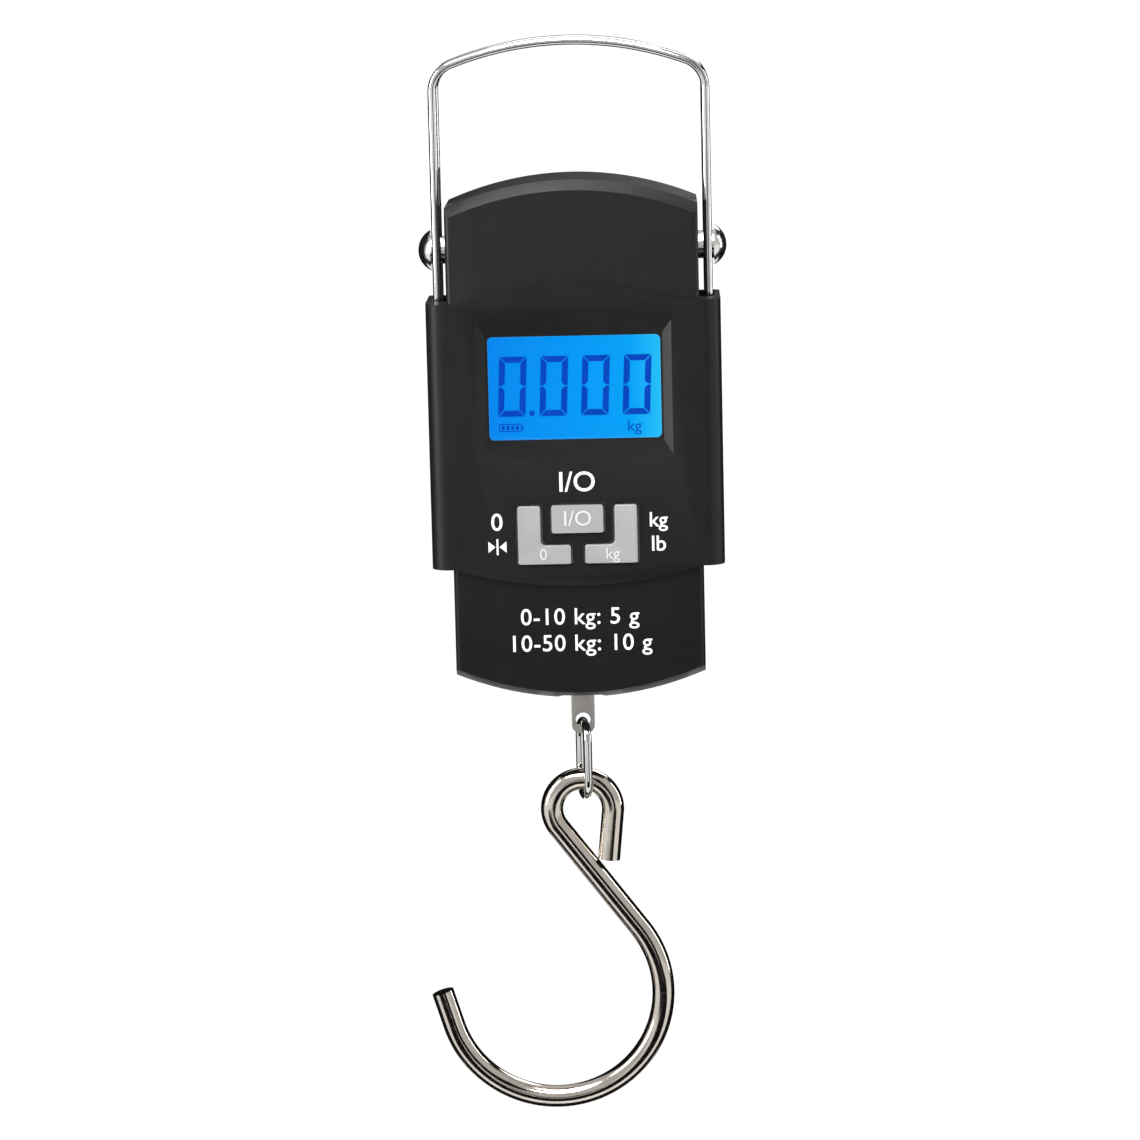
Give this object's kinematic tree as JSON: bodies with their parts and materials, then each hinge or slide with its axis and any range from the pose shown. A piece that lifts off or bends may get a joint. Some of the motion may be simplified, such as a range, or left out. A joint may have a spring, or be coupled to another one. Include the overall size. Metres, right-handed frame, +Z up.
{
  "type": "digital fish scale",
  "caption": "Hand-held hanging scale: flat black casing with a lit display and three keys, a sliding wire handle above and an S-hook on a link below.",
  "frame": {"origin": "midway between the two wires at the top of the handle, where the scale is held or hung", "axes": "+Z up along the load line; the display and keys face -Y; +X to the viewer's right"},
  "size_m": [0.0669, 0.0272, 0.2327],
  "materials": {
    "black_abs": "fine-textured black ABS",
    "steel": "zinc-plated",
    "window": "clear acrylic",
    "rubber_black": "foam",
    "lcd": "lit blue, darker segments",
    "white_plastic": "satin",
    "rubber_pink": "layered",
    "backlight": "light guide",
    "green_board": "solder mask",
    "epoxy": "moulded drop",
    "component": "ceramic",
    "rubber_grey": "silicone",
    "key_grey": "satin light grey",
    "dull_steel": "cold-drawn bar",
    "nickel": "nickel plate",
    "alloy": "machined",
    "gauge_film": "polyimide film",
    "lead_yellow": "PVC insulation",
    "lead_red": "PVC insulation",
    "battery_sleeve": "printed sleeve, no lettering",
    "polished_wire": "polished stainless wire",
    "hook_nickel": "nickel-plated steel"
  },
  "bodies": {
    "casing": {"front_shell": "black_abs", "rear_shell": "black_abs", "case_screws": "steel", "display_window": "window", "window_gasket": "rubber_black", "lcd_glass": "lcd", "lcd_frame": "white_plastic", "contact_strips": "rubber_pink", "backlight_panel": "backlight", "backlight_led": "white_plastic", "circuit_board": "green_board", "processor_chip": "epoxy", "board_components": "component", "board_screws": "steel", "key_mat": "rubber_grey", "cross_bar": "dull_steel", "left_side_pin": "nickel", "right_side_pin": "nickel", "load_cell": "alloy", "strain_gauges": "gauge_film", "load_cell_screws": "steel", "gauge_leads": "lead_yellow", "eye_strap": "nickel", "strap_pin": "steel", "battery_tray": "black_abs", "upper_battery": "battery_sleeve", "lower_battery": "battery_sleeve", "battery_springs": "steel", "battery_contacts": "steel", "battery_leads": "lead_red"},
    "battery_cover": {"battery_cover": "black_abs"},
    "on_off_key": {"on_off_key": "key_grey"},
    "tare_key": {"tare_key": "key_grey"},
    "unit_key": {"unit_key": "key_grey"},
    "handle": {"handle": "polished_wire"},
    "link": {"link": "polished_wire"},
    "hook": {"s_hook": "hook_nickel"}
  },
  "joints": [
    {"name": "handle_slide", "type": "slide", "parent": "casing", "child": "handle", "axis": [0, 0, 1], "range_m": [-0.0252, 0.01]},
    {"name": "battery_cover_slide", "type": "slide", "parent": "casing", "child": "battery_cover", "axis": [0, 0, -1], "range_m": [0, 0.015]},
    {"name": "on_off_press", "type": "slide", "parent": "casing", "child": "on_off_key", "axis": [0, 1, 0], "range_m": [0, 0.0006], "stiffness_N_per_m": 1500},
    {"name": "tare_press", "type": "slide", "parent": "casing", "child": "tare_key", "axis": [0, 1, 0], "range_m": [0, 0.0006], "stiffness_N_per_m": 1500},
    {"name": "unit_press", "type": "slide", "parent": "casing", "child": "unit_key", "axis": [0, 1, 0], "range_m": [0, 0.0006], "stiffness_N_per_m": 1500},
    {"name": "link_swing", "type": "hinge", "parent": "casing", "child": "link", "pos_m": [0, 0, -0.14585], "axis": [0, 1, 0], "range_deg": [-45, 45]},
    {"name": "hook_swing", "type": "hinge", "parent": "link", "child": "hook", "pos_m": [0, 0, -0.1585], "axis": [1, 0, 0], "range_deg": [-60, 60]}
  ]
}
